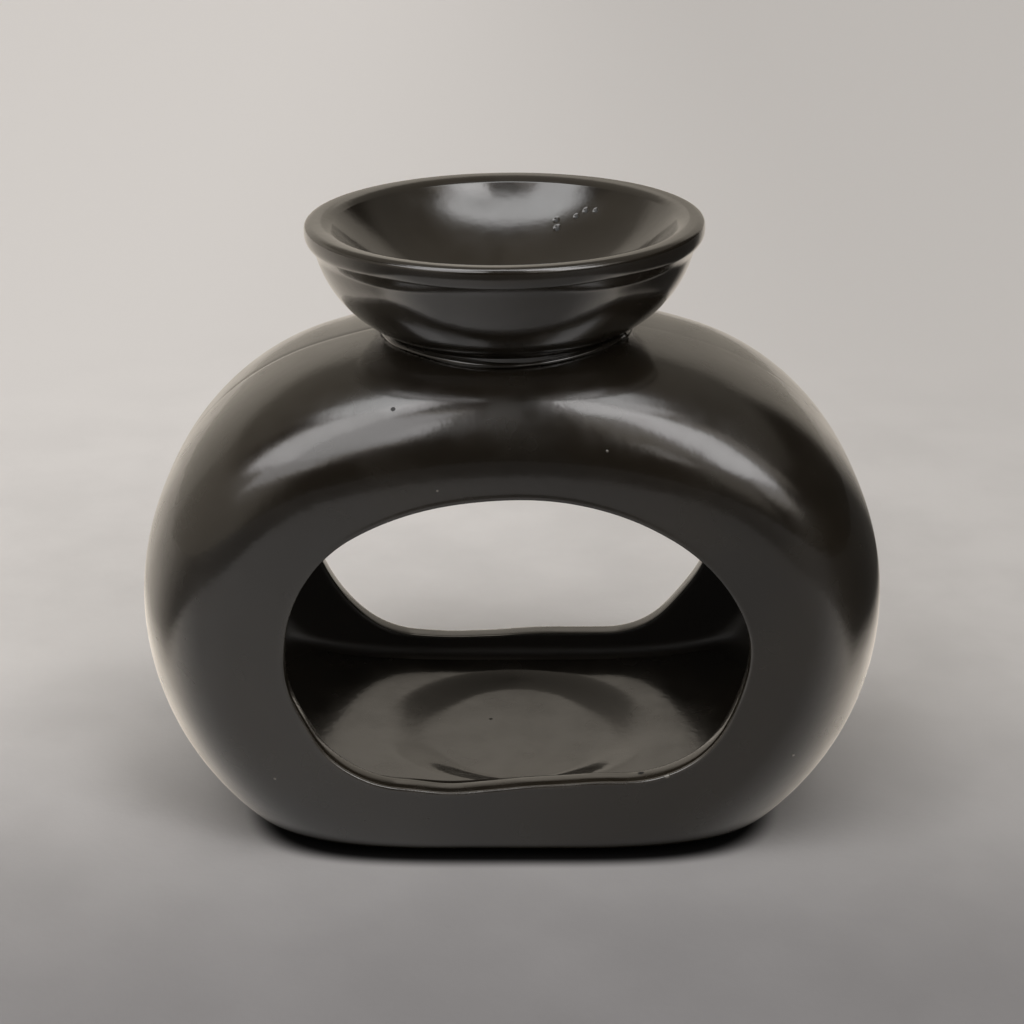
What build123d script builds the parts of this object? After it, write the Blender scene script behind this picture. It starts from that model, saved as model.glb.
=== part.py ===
from build123d import *

import math
import os

# Ceramic oil burner, in millimetres. +Z is up and the front window faces -Y.
# The origin is the centre of the foot's underside, where the burner stands on the table.

# Body: an oval drum lying on its side, with flat faces in front and at the back and a swollen rim
body_width = 120.0
body_depth = 60.0
brow_height = 19.9
widest_height = 37.6
crown_radius = 100.0
keel_flat = 22.0
rim_bulge = 13.0
parting_land = 1.0
base_edge_radius = 1.2

# Hollow of the body
wall = 4.2
crown_wall = 4.5
base_wall = 6.0
inner_bulge = 9.5
floor_corner_radius = 3.5

# Round foot under the body
foot_diameter = 52.0
foot_height = 2.2
foot_edge_radius = 0.6

# Windows, alike in front and at the back
window_width = 71.6
window_top_height = 62.5
window_arch_rise = 27.0
window_top_radius = 47.5
lip_height = 13.7
lip_flat = 34.0
lip_edge_radius = 1.1

# Round seat for a tealight in the chamber floor, a little to the right of the body's centre line
tealight_diameter = 38.5
tealight_offset = 1.0
tealight_clearance = 1.0
tealight_seat_depth = 2.0
tealight_seat_edge_radius = 0.8

# Oil dish, bonded a little to the left of the body's centre line
dish_offset = -1.0
dish_seat_drop = 3.3
dish_foot_diameter = 37.8
dish_foot_height = 1.3
dish_height = 19.3
dish_rim_diameter = 62.5
dish_lip_width = 4.5
dish_lip_height = 3.2
dish_wall_radius = 18.0
dish_neck_diameter = 58.6
dish_neck_drop = 3.9
dish_floor_wall = 6.0

# Bead of slip and glaze in the joint between the dish and the body, as high as the dish's foot
seam_width = 0.9

# Extra length of the cutting shapes
overrun = 10.0

# A round shape stands on its place
STANDING = (Align.CENTER, Align.CENTER, Align.MIN)

# Heights that several pieces share: the crown stands one brow above the windows
crown_height = window_top_height + brow_height
window_widest_height = window_top_height - window_arch_rise
floor_height = foot_height + base_wall
dish_seat_height = crown_height - dish_seat_drop
chamber_top = dish_seat_height - crown_wall
dish_axis = Location((dish_offset, 0, dish_seat_height))


def tangent_side_radius(half_width, rise, top_radius):
    """Radius of the side arc that runs upright at the widest point and meets the top arc smoothly."""
    return (2 * top_radius * rise - half_width**2 - rise**2) / (2 * (top_radius - half_width))


def arched_top(half_width, widest, top, top_radius):
    """Upper half of an oval: a side arc, the top arc and the other side arc, from right to left."""
    rise = top - widest
    side_radius = tangent_side_radius(half_width, rise, top_radius)
    turn = math.degrees(math.atan2(top_radius - rise, half_width - side_radius))
    right = CenterArc((half_width - side_radius, widest), side_radius, 0, turn)
    crown = CenterArc((0, top - top_radius), top_radius, turn, 180 - 2 * turn)
    return [right, crown, mirror(right, Plane.YZ)]


def drum_outline(half_width, widest, top, top_radius, flat):
    """Face of the oval: an arched top, two quarter circles below it and a short flat at the bottom."""
    low_radius = half_width - flat / 2
    low_right = CenterArc((flat / 2, widest), low_radius, 270, 90)
    bottom = Line((-flat / 2, widest - low_radius), (flat / 2, widest - low_radius))
    return make_face([bottom, low_right, *arched_top(half_width, widest, top, top_radius),
                      mirror(low_right, Plane.YZ)])


def drum(outline, depth, bulge):
    """Drum with flat faces and an elliptical rim that swells by the bulge towards its middle."""
    stretch = (depth - parting_land) / (2 * bulge)
    blank = extrude(Plane.XZ * outline, depth / (2 * stretch), both=True)
    faces = blank.faces().filter_by(Axis.Y)
    rounded = fillet(faces.edges(), bulge)
    return scale(rounded, (1, stretch, 1))


def window_outline():
    """Face of a window: an arched top over a flat lip with wide rounded corners."""
    half_width = window_width / 2
    reach = half_width - lip_flat / 2
    drop = window_widest_height - lip_height
    corner = EllipticalCenterArc((lip_flat / 2, window_widest_height), reach, drop, 270, arc_size=90)
    lip = Line((-lip_flat / 2, lip_height), (lip_flat / 2, lip_height))
    top = arched_top(half_width, window_widest_height, window_top_height, window_top_radius)
    return make_face([lip, corner, *top, mirror(corner, Plane.YZ)])


def make_chamber():
    """Hollow inside the body: flat on the floor, with the sunken seat for the tealight."""
    outline = drum_outline(body_width / 2 - wall, widest_height, chamber_top, crown_radius, keel_flat)
    hollow = drum(outline, body_depth - 2 * wall, inner_bulge)
    hollow = split(hollow, Plane.XY.offset(floor_height), keep=Keep.TOP)
    floor = hollow.faces().sort_by(Axis.Z)[0]
    hollow = fillet(floor.edges(), floor_corner_radius)

    seat_radius = tealight_diameter / 2 + tealight_clearance
    seat_floor = Location((tealight_offset, 0, floor_height - tealight_seat_depth))
    seat = seat_floor * Cylinder(seat_radius, tealight_seat_depth + overrun, align=STANDING)
    sunken = hollow + seat
    return fillet(new_edges(hollow, seat, combined=sunken), tealight_seat_edge_radius)


def make_burner_body():
    """Ceramic body: drum, foot, chamber, both windows, tealight seat and the dish's seat."""
    outline = drum_outline(body_width / 2, widest_height, crown_height, crown_radius, keel_flat)
    body = drum(outline, body_depth, rim_bulge)
    body = split(body, Plane.XY.offset(foot_height), keep=Keep.TOP)
    base = body.faces().sort_by(Axis.Z)[0]
    body = fillet(base.edges(), base_edge_radius)

    foot = Cylinder(foot_diameter / 2, foot_height + base_edge_radius, align=STANDING)
    foot = fillet(foot.edges().sort_by(Axis.Z)[0], foot_edge_radius)
    body = body + foot - make_chamber()

    windows = extrude(Plane.XZ * window_outline(), body_depth / 2 + overrun, both=True)
    pierced = body - windows
    body = fillet(new_edges(body, windows, combined=pierced), lip_edge_radius)

    land_radius = dish_foot_diameter / 2 + seam_width
    return body - dish_axis * Cylinder(land_radius, dish_seat_drop + overrun, align=STANDING)


def make_oil_dish():
    """Shallow bowl with a rolled lip, turned about its own axis and set on the seat in the crown."""
    lip_reach = dish_lip_width / 2
    lip_rise = dish_lip_height / 2
    lip_circle = dish_rim_diameter / 2 - lip_reach
    lip_level = dish_height - lip_rise
    foot_radius = dish_foot_diameter / 2
    neck = (dish_neck_diameter / 2, dish_height - dish_neck_drop)
    bowl_edge = (lip_circle - lip_reach, lip_level)

    axis_line = Line((0, dish_floor_wall), (0, 0))
    underside = Line((0, 0), (foot_radius, 0))
    foot_side = Line((foot_radius, 0), (foot_radius, dish_foot_height))
    flank = RadiusArc((foot_radius, dish_foot_height), neck, -dish_wall_radius)
    shoulder = Line(neck, (neck[0], lip_level))
    top = Line((neck[0], lip_level), bowl_edge)
    bowl = TangentArc((0, dish_floor_wall), bowl_edge, tangent=(1, 0))
    section = make_face([axis_line, underside, foot_side, flank, shoulder, top, bowl])
    section += Location((lip_circle, lip_level)) * Ellipse(lip_reach, lip_rise)
    return dish_axis * revolve(Plane.XZ * section, Axis.Z)


def make_glaze_seam():
    """Ring of slip and glaze round the dish's foot, rounded on its outer shoulder."""
    inner = dish_foot_diameter / 2
    outer = inner + seam_width
    bead = EllipticalCenterArc((inner, 0), seam_width, dish_foot_height, 0, arc_size=90)
    bottom = Line((inner, 0), (outer, 0))
    back = Line((inner, dish_foot_height), (inner, 0))
    ring = revolve(Plane.XZ * make_face([bottom, bead, back]), Axis.Z)
    return dish_axis * ring


pieces = {
    "burner_body": make_burner_body(),
    "oil_dish": make_oil_dish(),
    "glaze_seam": make_glaze_seam(),
}

os.makedirs("parts", exist_ok=True)
for name, solid in pieces.items():
    export_step(solid, f"parts/{name}.step")
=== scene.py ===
"""Dresses the frame of a glazed oil burner: its slip-cast body, its oil dish and the bead between them."""

import logging
import math
from collections.abc import Iterator
from dataclasses import dataclass, field, replace
from enum import Enum

import bmesh
import bpy
import numpy as np
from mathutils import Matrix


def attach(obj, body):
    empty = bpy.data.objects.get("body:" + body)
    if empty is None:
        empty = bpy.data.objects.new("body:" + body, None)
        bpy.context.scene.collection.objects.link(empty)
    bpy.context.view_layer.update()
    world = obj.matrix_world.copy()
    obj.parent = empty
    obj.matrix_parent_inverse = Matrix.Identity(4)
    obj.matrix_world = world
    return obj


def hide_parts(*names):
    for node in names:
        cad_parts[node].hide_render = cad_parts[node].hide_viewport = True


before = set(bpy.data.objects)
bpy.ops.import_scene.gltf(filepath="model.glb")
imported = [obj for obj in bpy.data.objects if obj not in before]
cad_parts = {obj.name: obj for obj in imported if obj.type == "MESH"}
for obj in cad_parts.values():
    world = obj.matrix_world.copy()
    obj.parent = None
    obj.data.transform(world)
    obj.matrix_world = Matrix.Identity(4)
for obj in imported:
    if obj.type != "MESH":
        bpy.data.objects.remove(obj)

LOG = logging.getLogger("oil_burner")
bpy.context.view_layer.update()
BODY = "root"
MM = 0.001
IMAGE_PIXELS = 1024
SENSOR_WIDTH = 36.0
MERGE_DISTANCE = 0.001 * MM
LEAST_SLOPE = 1e-3
DISH_OFFSET = -1.0 * MM
FRONT, BACK = -1.0, 1.0

Colour = tuple[float, float, float]
Span = tuple[float, float]


class Node(Enum):
    """CAD nodes that the dressed pieces stand for."""

    BODY = "burner_body"
    DISH = "oil_dish"
    SEAM = "glaze_seam"


class Slot(Enum):
    """Material slots of the record."""

    BODY = "body_glaze"
    DISH = "dish_glaze"
    SEAM = "seam_glaze"


class Trait(Enum):
    """Point attributes that the finishes read."""

    THIN = "thin_glaze_highlight"
    BARE = "bare_clay"
    DRY = "dry_glaze"
    PIT = "pinhole"


def smooth_step(low: float, high: float, values: np.ndarray) -> np.ndarray:
    """Rise smoothly from 0 at low to 1 at high.

    Args:
        low: Value where the rise starts.
        high: Value where the rise ends.
        values: Values to look up.

    Returns:
        The height of the rise at each value.
    """
    share = np.clip((values - low) / (high - low), 0.0, 1.0)
    return share * share * (3.0 - 2.0 * share)


def soft_min(first: np.ndarray, second: np.ndarray, blend: float) -> np.ndarray:
    """Take the smaller of two lengths, rounded where they cross.

    Args:
        first: Lengths to one surface.
        second: Lengths to the other surface.
        blend: How far from the crossing the rounding starts.

    Returns:
        The rounded smaller lengths.
    """
    share = np.clip(0.5 + 0.5 * (second - first) / blend, 0.0, 1.0)
    return second * (1.0 - share) + first * share - blend * share * (1.0 - share)


def arc_points(centre: Span, reach: Span, start: float, end: float, count: int) -> np.ndarray:
    """Points on an elliptical arc.

    Args:
        centre: Centre of the arc.
        reach: Half axes of the ellipse.
        start: First angle, in radians.
        end: Last angle, in radians.
        count: Number of points.

    Returns:
        An array with one point in each row.
    """
    turn = np.linspace(start, end, count)
    return np.column_stack([centre[0] + reach[0] * np.cos(turn), centre[1] + reach[1] * np.sin(turn)])


@dataclass(frozen=True)
class Dent:
    """A soft swelling or hollow of a ring, seen from the ring's middle.

    Attributes:
        angle: Direction from the middle, in degrees from +X.
        spread: Half width, in degrees.
        depth: How far the ring moves or swells outwards.
    """

    angle: float
    spread: float
    depth: float

    def at(self, angles: np.ndarray) -> np.ndarray:
        """Depth of the dent in each direction."""
        away = np.remainder(angles - math.radians(self.angle) + math.pi, 2 * math.pi) - math.pi
        return self.depth * np.exp(-(away / math.radians(self.spread)) ** 2)


@dataclass(frozen=True)
class Oval:
    """Closed outline in an upright plane: an arch of three arcs over rounded low corners and a flat.

    Attributes:
        half_width: Half the width at the widest height.
        widest: Height of the widest point.
        top: Height of the top.
        top_radius: Radius of the top arc.
        bottom: Height of the flat at the bottom.
        flat: Length of that flat.
        samples: Number of points on each of its curves.
    """

    half_width: float
    widest: float
    top: float
    top_radius: float
    bottom: float
    flat: float
    samples: int = 160

    def inset(self, by: float) -> "Oval":
        """The same outline drawn inwards by a distance."""
        return replace(self, half_width=self.half_width - by, top=self.top - by,
                       top_radius=self.top_radius - by, bottom=self.bottom + by)

    def right_half(self) -> np.ndarray:
        """Points of the right half, from the bottom to the top."""
        rise = self.top - self.widest
        side = (2 * self.top_radius * rise - self.half_width**2 - rise**2) / (
            2 * (self.top_radius - self.half_width))
        turn = math.atan2(self.top_radius - rise, self.half_width - side)
        corner = (self.half_width - self.flat / 2, self.widest - self.bottom)
        low = arc_points((self.flat / 2, self.widest), corner, -math.pi / 2, 0.0, self.samples)
        flank = arc_points((self.half_width - side, self.widest), (side, side), 0.0, turn, self.samples)
        crown = arc_points((0.0, self.top - self.top_radius), (self.top_radius, self.top_radius), turn,
                           math.pi / 2, self.samples)
        half_flat = np.linspace(0.0, self.flat / 2, self.samples)[:-1]
        level = np.column_stack([half_flat, np.full_like(half_flat, self.bottom)])
        return np.vstack([level, low, flank[1:], crown[1:]])

    def reach(self, angles: np.ndarray, hub: float) -> np.ndarray:
        """Distance from the hub to the outline.

        Args:
            angles: Directions from the hub, in radians from +X towards +Z.
            hub: Height of the hub.

        Returns:
            The distance in each direction.
        """
        half = self.right_half()
        polar = np.arctan2(half[:, 1] - hub, half[:, 0])
        radius = np.hypot(half[:, 0], half[:, 1] - hub)
        folded = np.arctan2(np.sin(angles), np.abs(np.cos(angles)))
        return np.interp(folded, polar, radius)


class NodeSheet:
    """Short hand for adding and wiring the nodes of one node tree."""

    def __init__(self, tree: bpy.types.NodeTree) -> None:
        """Start with an empty tree."""
        self.tree = tree
        tree.nodes.clear()

    def add(self, kind: str, inputs: dict[str | int, object] | None = None,
            **settings: object) -> bpy.types.Node:
        """Add a node, set it up and wire its inputs.

        Args:
            kind: Node type without the leading ShaderNode.
            inputs: Values or output sockets for its inputs, by name or number.
            **settings: Properties of the node.

        Returns:
            The new node.
        """
        node = self.tree.nodes.new("ShaderNode" + kind)
        for name, value in settings.items():
            setattr(node, name, value)
        for key, value in (inputs or {}).items():
            if isinstance(value, bpy.types.NodeSocket):
                self.tree.links.new(value, node.inputs[key])
            else:
                node.inputs[key].default_value = value
        return node

    def maths(self, operation: str, *values: object) -> bpy.types.NodeSocket:
        """Output of a Math node with these inputs."""
        return self.add("Math", dict(enumerate(values)), operation=operation).outputs[0]

    def ramp(self, value: bpy.types.NodeSocket, low: float, high: float, start: float = 0.0,
             end: float = 1.0, smooth: bool = True) -> bpy.types.NodeSocket:
        """Output of a Map Range node that takes low..high to start..end."""
        node = self.add("MapRange", {0: value, 1: low, 2: high, 3: start, 4: end},
                        interpolation_type="SMOOTHSTEP" if smooth else "LINEAR")
        return node.outputs[0]

    def mix(self, share: object, first: object, second: object) -> bpy.types.NodeSocket:
        """Colour output that goes from the first colour to the second."""
        first, second = (colour if isinstance(colour, bpy.types.NodeSocket) else (*colour, 1.0)
                         for colour in (first, second))
        return self.add("Mix", {0: share, 6: first, 7: second}, data_type="RGBA").outputs[2]

    def between(self, value: bpy.types.NodeSocket, span: Span, soft: float) -> bpy.types.NodeSocket:
        """Output that is 1 inside a span and falls to 0 across its soft ends.

        Args:
            value: The value to look up.
            span: Where the span starts and ends.
            soft: Half width of its soft ends.

        Returns:
            The height at the value.
        """
        low, high = span
        rise = self.ramp(value, low - soft, low + soft)
        fall = self.ramp(value, high + soft, high - soft)
        return self.maths("MULTIPLY", rise, fall)

    def scaled(self, colour: bpy.types.NodeSocket, share: bpy.types.NodeSocket) -> bpy.types.NodeSocket:
        """Colour output that is brighter or dimmer by a share."""
        return self.add("VectorMath", {0: colour, "Scale": share}, operation="SCALE").outputs[0]

    def away(self, where: bpy.types.NodeSocket, place: tuple[float, float, float]) -> bpy.types.NodeSocket:
        """Distance from a place."""
        return self.add("VectorMath", {0: where, 1: place}, operation="DISTANCE").outputs["Value"]

    def turn(self, x: bpy.types.NodeSocket, y: bpy.types.NodeSocket) -> bpy.types.NodeSocket:
        """Direction round the burner, in degrees from the front towards the right."""
        return self.maths("DEGREES", self.maths("ARCTAN2", x, self.maths("MULTIPLY", y, -1.0)))

    def noise(self, where: bpy.types.NodeSocket, size: float, detail: float = 2.0) -> bpy.types.NodeSocket:
        """Noise whose lumps are about this size, in metres."""
        return self.add("TexNoise", {"Vector": where, "Scale": 1.0 / size, "Detail": detail}).outputs[0]

    def trait(self, trait: Trait) -> bpy.types.NodeSocket:
        """Value of one of the mesh's point attributes."""
        return self.add("Attribute", attribute_name=trait.value).outputs["Fac"]


def blank_material(name: str) -> tuple[bpy.types.Material, NodeSheet]:
    """Start a material with an empty node sheet.

    Args:
        name: Name of the material.

    Returns:
        The material and its sheet.
    """
    material = bpy.data.materials.new(name)
    material.use_nodes = True
    return material, NodeSheet(material.node_tree)


@dataclass(frozen=True)
class Spot:
    """A small fault in the glaze: a pale grain that stands proud or a pinhole, painted dark as the shade in
    its hole.

    Attributes:
        place: Where it is.
        radius: How far it reaches.
        pale: Whether it is a pale grain.
        core: Share of the radius that it covers fully.
    """

    place: tuple[float, float, float]
    radius: float
    pale: bool = False
    core: float = 0.5

    def mask(self, sheet: NodeSheet, where: bpy.types.NodeSocket) -> bpy.types.NodeSocket:
        """Mask of the spot.

        Args:
            sheet: The material's node sheet.
            where: Object coordinates.

        Returns:
            1 inside the spot and 0 elsewhere.
        """
        return sheet.ramp(sheet.away(where, self.place), self.radius, self.radius * self.core)


@dataclass(frozen=True)
class Glaze:
    """Black-brown satin glaze over a dark body, under a clear glossy skin.

    Attributes:
        name: Name of the material.
        deep: Colour where the glaze lies thick.
        warm: Colour of the browner clouds in it.
        thin: Colour where it drew back from an edge; paler partly from that and partly as a painted
            highlight.
        clay: Colour of the bare foot.
        speck: Colour of the pale grains.
        pit: Colour of the pinholes, near-black as painted shade of the holes.
        roughness: Roughness of the glaze under its skin.
        roughness_spread: How far that varies from patch to patch.
        dry_roughness: Roughness inside the chamber, where the glaze is thin and dull.
        clay_roughness: Roughness of the bare foot.
        pit_roughness: Roughness of the pinholes.
        skin_roughness: Roughness of the clear skin.
        density: Index of refraction of the glaze.
        skin_density: Index of refraction of the clear skin.
        peel: Depth of the fine unevenness of the skin.
        peel_size: Size of that unevenness.
        cloud_size: Size of the browner clouds.
        cloud_range: Noise levels where a cloud starts and is full.
        patch_size: Size of the duller and glossier patches.
        patch_range: Noise levels of the glossiest and the dullest patches.
        speck_cell: Size of the cells that hold at most one speck each.
        speck_radius: Radius of a speck.
        speck_core: Share of that radius that the speck covers fully.
        speck_share: Share of the cells that hold a speck.
        spots: Faults that are seen one by one.
        spot_depth: How far a pale grain stands proud.
    """

    name: str
    deep: Colour = (0.0117, 0.0094, 0.0066)
    warm: Colour = (0.0167, 0.0128, 0.0080)
    thin: Colour = (0.16, 0.15, 0.135)
    clay: Colour = (0.25, 0.19, 0.14)
    speck: Colour = (0.15, 0.14, 0.12)
    pit: Colour = (0.003, 0.003, 0.003)
    roughness: float = 0.23
    roughness_spread: float = 0.05
    dry_roughness: float = 0.5
    clay_roughness: float = 0.85
    pit_roughness: float = 0.6
    skin_roughness: float = 0.10
    density: float = 1.65
    skin_density: float = 1.5
    peel: float = 0.016 * MM
    peel_size: float = 1.6 * MM
    cloud_size: float = 26 * MM
    cloud_range: Span = (0.35, 0.7)
    patch_size: float = 6.5 * MM
    patch_range: Span = (0.3, 0.7)
    speck_cell: float = 11 * MM
    speck_radius: float = 0.16 * MM
    speck_core: float = 0.6
    speck_share: float = 0.22
    spots: tuple[Spot, ...] = ()
    spot_depth: float = 0.05 * MM

    def material(self) -> bpy.types.Material:
        """Build the glaze's material."""
        material, sheet = blank_material(self.name)
        where = sheet.add("TexCoord").outputs["Object"]
        pits, bare, dry = (sheet.trait(trait) for trait in (Trait.PIT, Trait.BARE, Trait.DRY))

        clouds = sheet.ramp(sheet.noise(where, self.cloud_size, 3.0), *self.cloud_range)
        colour = sheet.mix(clouds, self.deep, self.warm)
        colour = sheet.mix(self.specks(sheet, where), colour, self.speck)
        # Pale front edge of the window: partly thin glaze, partly a painted highlight.
        colour = sheet.mix(sheet.trait(Trait.THIN), colour, self.thin)
        relief: object = 0.0
        for spot in self.spots:
            mask = spot.mask(sheet, where)
            if spot.pale:
                relief = sheet.maths("ADD", relief, mask)
                colour = sheet.mix(mask, colour, self.speck)
            else:
                pits = sheet.maths("MAXIMUM", pits, mask)
        # Pinholes: near-black, painted shade of the holes.
        colour = sheet.mix(pits, colour, self.pit)
        colour = sheet.mix(bare, colour, self.clay)

        patches = sheet.noise(where, self.patch_size)
        roughness = sheet.ramp(patches, *self.patch_range, self.roughness - self.roughness_spread,
                               self.roughness + self.roughness_spread)
        levels = (self.dry_roughness, self.clay_roughness, self.pit_roughness)
        for mask, level in zip((dry, bare, pits), levels):
            roughness = sheet.maths("MAXIMUM", roughness, sheet.maths("MULTIPLY", mask, level))
        dull = sheet.maths("MAXIMUM", sheet.maths("MAXIMUM", bare, pits), dry)
        skin = sheet.maths("SUBTRACT", 1.0, dull)

        peel = sheet.noise(where, self.peel_size)
        bump = sheet.add("Bump", {"Height": peel, "Distance": self.peel}).outputs[0]
        bump = sheet.add("Bump", {"Height": relief, "Distance": self.spot_depth, "Normal": bump}).outputs[0]
        shader = sheet.add("BsdfPrincipled", {
            "Base Color": colour, "Roughness": roughness, "IOR": self.density, "Normal": bump,
            "Coat Weight": skin, "Coat Roughness": self.skin_roughness, "Coat IOR": self.skin_density,
            "Coat Normal": bump})
        sheet.add("OutputMaterial", {"Surface": shader.outputs[0]})
        return material

    def specks(self, sheet: NodeSheet, where: bpy.types.NodeSocket) -> bpy.types.NodeSocket:
        """Mask of the few pale specks in the glaze.

        Args:
            sheet: The material's node sheet.
            where: Object coordinates.

        Returns:
            1 inside a speck and 0 elsewhere.
        """
        cells = sheet.add("TexVoronoi", {"Vector": where, "Scale": 1.0 / self.speck_cell})
        radius = self.speck_radius / self.speck_cell
        dots = sheet.ramp(cells.outputs["Distance"], radius, radius * self.speck_core)
        draw = sheet.add("SeparateColor", {0: cells.outputs["Color"]}).outputs[0]
        chosen = sheet.maths("LESS_THAN", draw, self.speck_share)
        return sheet.maths("MULTIPLY", dots, chosen)


@dataclass(frozen=True)
class TableTop:
    """Plain pale floor, darker towards the front and on the right as painted shade, with a painted shadow
    under the object and a brighter look in what the glaze mirrors.

    Attributes:
        name: Name of the material.
        near: Colour in front of the object, darker there as painted shade.
        far: Colour behind it, lighter there as painted light.
        near_y: Where the front colour ends.
        far_y: Where the back colour starts.
        mottle: How far the colour varies near the object.
        mottle_size: Size of its patches.
        mottle_range: Noise levels of the darkest and the lightest patches.
        mottle_ends: Distances where the patches have faded out and where they are full.
        mirror_front: How bright the floor in front mirrors, on the left and on the right.
        mirror_side: How bright the floor beside and behind the object mirrors.
        mirror_tint: Tint of the mirrored floor beside and behind the object.
        mirror_ends: Distances where the mirrored floor starts and stops to fade, in front and beside.
        front_turns: Directions of the left and the right end of the floor in front, in degrees.
        left_turns: Directions between the floor in front and the floor on the left.
        right_turns: Directions between the floor in front and the floor on the right.
        open_left: Directions where the mirrored floor far off grows lighter on the left.
        open_left_levels: How bright it is at these directions.
        open_right: Directions where the mirrored floor far off grows lighter behind on the right.
        open_right_levels: How bright it is at these directions.
        footprint: Half axes of the painted shadow under the object.
        footprint_power: How square that patch is.
        footprint_edge: Shares of the half axes, to that power, where its edge starts and ends.
        footprint_level: Share of the colour inside it.
        side_shade: Share of the colour on the left and on the right, as painted shade.
        side_reach: How far to the side that share is reached.
        roughness: Roughness of the floor.
        gloss: Specular level of the floor.
        grain_size: Size of the floor's grain.
        grain_depth: Depth of the floor's grain.
    """

    name: str = "table_top"
    near: Colour = (0.27, 0.264, 0.268)
    far: Colour = (0.70, 0.685, 0.67)
    near_y: float = -0.078
    far_y: float = 0.065
    mottle: float = 0.05
    mottle_size: float = 30 * MM
    mottle_range: Span = (0.3, 0.7)
    mottle_ends: Span = (0.3, 0.1)
    mirror_front: Span = (0.40, 0.235)
    mirror_side: float = 1.28
    mirror_tint: Colour = (1.04, 0.97, 0.87)
    mirror_ends: tuple[Span, Span] = ((0.24, 0.29), (0.09, 0.15))
    front_turns: Span = (-35.0, 35.0)
    left_turns: Span = (-46.0, -90.0)
    right_turns: Span = (40.0, 84.0)
    open_left: Span = (-62.0, -112.0)
    open_left_levels: Span = (0.02, 0.65)
    open_right: Span = (135.0, 155.0)
    open_right_levels: Span = (0.02, 0.7)
    footprint: Span = (0.043, 0.0308)
    footprint_power: float = 4.0
    footprint_edge: Span = (0.8, 1.25)
    footprint_level: float = 0.02
    side_shade: Span = (1.06, 0.84)
    side_reach: float = 0.13
    roughness: float = 0.62
    gloss: float = 0.5
    grain_size: float = 1.5 * MM
    grain_depth: float = 0.05 * MM

    def material(self) -> bpy.types.Material:
        """Build the floor's material."""
        material, sheet = blank_material(self.name)
        where = sheet.add("TexCoord").outputs["Object"]
        x, y, _ = sheet.add("SeparateXYZ", {0: where}).outputs
        distance = sheet.add("VectorMath", {0: where}, operation="LENGTH").outputs["Value"]
        # Painted shade: the floor is darker in front and lighter behind.
        colour = sheet.mix(sheet.ramp(y, self.near_y, self.far_y), self.near, self.far)
        mirrored = self.mirrored(sheet, distance, x, y)
        colour = sheet.mix(sheet.add("LightPath").outputs["Is Glossy Ray"], colour, mirrored)

        patches = sheet.ramp(sheet.noise(where, self.mottle_size, 4.0), *self.mottle_range, -self.mottle,
                             self.mottle)
        patches = sheet.maths("MULTIPLY", patches, sheet.ramp(distance, *self.mottle_ends))
        # Painted shade: the floor is lighter on the left and darker on the right.
        side = sheet.ramp(x, -self.side_reach, self.side_reach, *self.side_shade)
        shade = sheet.maths("MULTIPLY", sheet.maths("ADD", 1.0, patches), side)
        # Painted shadow under the object, which also dims the floor's gloss there.
        painted_shadow_share = self.painted_footprint_shadow(sheet, x, y)
        colour = sheet.scaled(colour, sheet.maths("MULTIPLY", shade, painted_shadow_share))
        grain = sheet.noise(where, self.grain_size, 3.0)
        bump = sheet.add("Bump", {"Height": grain, "Distance": self.grain_depth}).outputs[0]
        shader = sheet.add("BsdfPrincipled", {
            "Base Color": colour, "Roughness": self.roughness, "Normal": bump,
            "Specular IOR Level": sheet.maths("MULTIPLY", painted_shadow_share, self.gloss)})
        sheet.add("OutputMaterial", {"Surface": shader.outputs[0]})
        return material

    def mirrored(self, sheet: NodeSheet, distance: bpy.types.NodeSocket, x: bpy.types.NodeSocket,
                 y: bpy.types.NodeSocket) -> bpy.types.NodeSocket:
        """Floor as the glaze mirrors it: dim in front, bright beside and behind, dark far off on the right.

        Args:
            sheet: The material's node sheet.
            distance: Distance from the object.
            x: Place across.
            y: Place along.

        Returns:
            The mirrored colour.
        """
        turn = sheet.turn(x, y)
        beside = sheet.maths("MAXIMUM", sheet.ramp(turn, *self.left_turns),
                             sheet.ramp(turn, *self.right_turns))
        front = sheet.ramp(turn, *self.front_turns, *self.mirror_front)
        gain = sheet.maths("MULTIPLY", beside, sheet.maths("SUBTRACT", self.mirror_side, front))
        near = sheet.maths("ADD", front, gain)
        far = sheet.maths("MAXIMUM", sheet.ramp(turn, *self.open_left, *self.open_left_levels),
                          sheet.ramp(turn, *self.open_right, *self.open_right_levels))
        start, end = (sheet.ramp(beside, 0.0, 1.0, ahead, aside, smooth=False)
                      for ahead, aside in zip(*self.mirror_ends))
        close = sheet.ramp(distance, end, start)
        step = sheet.maths("MULTIPLY", close, sheet.maths("SUBTRACT", near, far))
        tint = sheet.mix(beside, (1.0, 1.0, 1.0), self.mirror_tint)
        return sheet.scaled(tint, sheet.maths("ADD", far, step))

    def painted_footprint_shadow(self, sheet: NodeSheet, x: bpy.types.NodeSocket,
                        y: bpy.types.NodeSocket) -> bpy.types.NodeSocket:
        """Painted shadow on the floor right under the object.

        Args:
            sheet: The material's node sheet.
            x: Place across.
            y: Place along.

        Returns:
            Nearly 0 under the object and 1 outside.
        """
        shares = (sheet.maths("DIVIDE", sheet.maths("ABSOLUTE", place), half)
                  for place, half in zip((x, y), self.footprint))
        across, along = (sheet.maths("POWER", share, self.footprint_power) for share in shares)
        return sheet.ramp(sheet.maths("ADD", across, along), *self.footprint_edge, self.footprint_level, 1.0)


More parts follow.
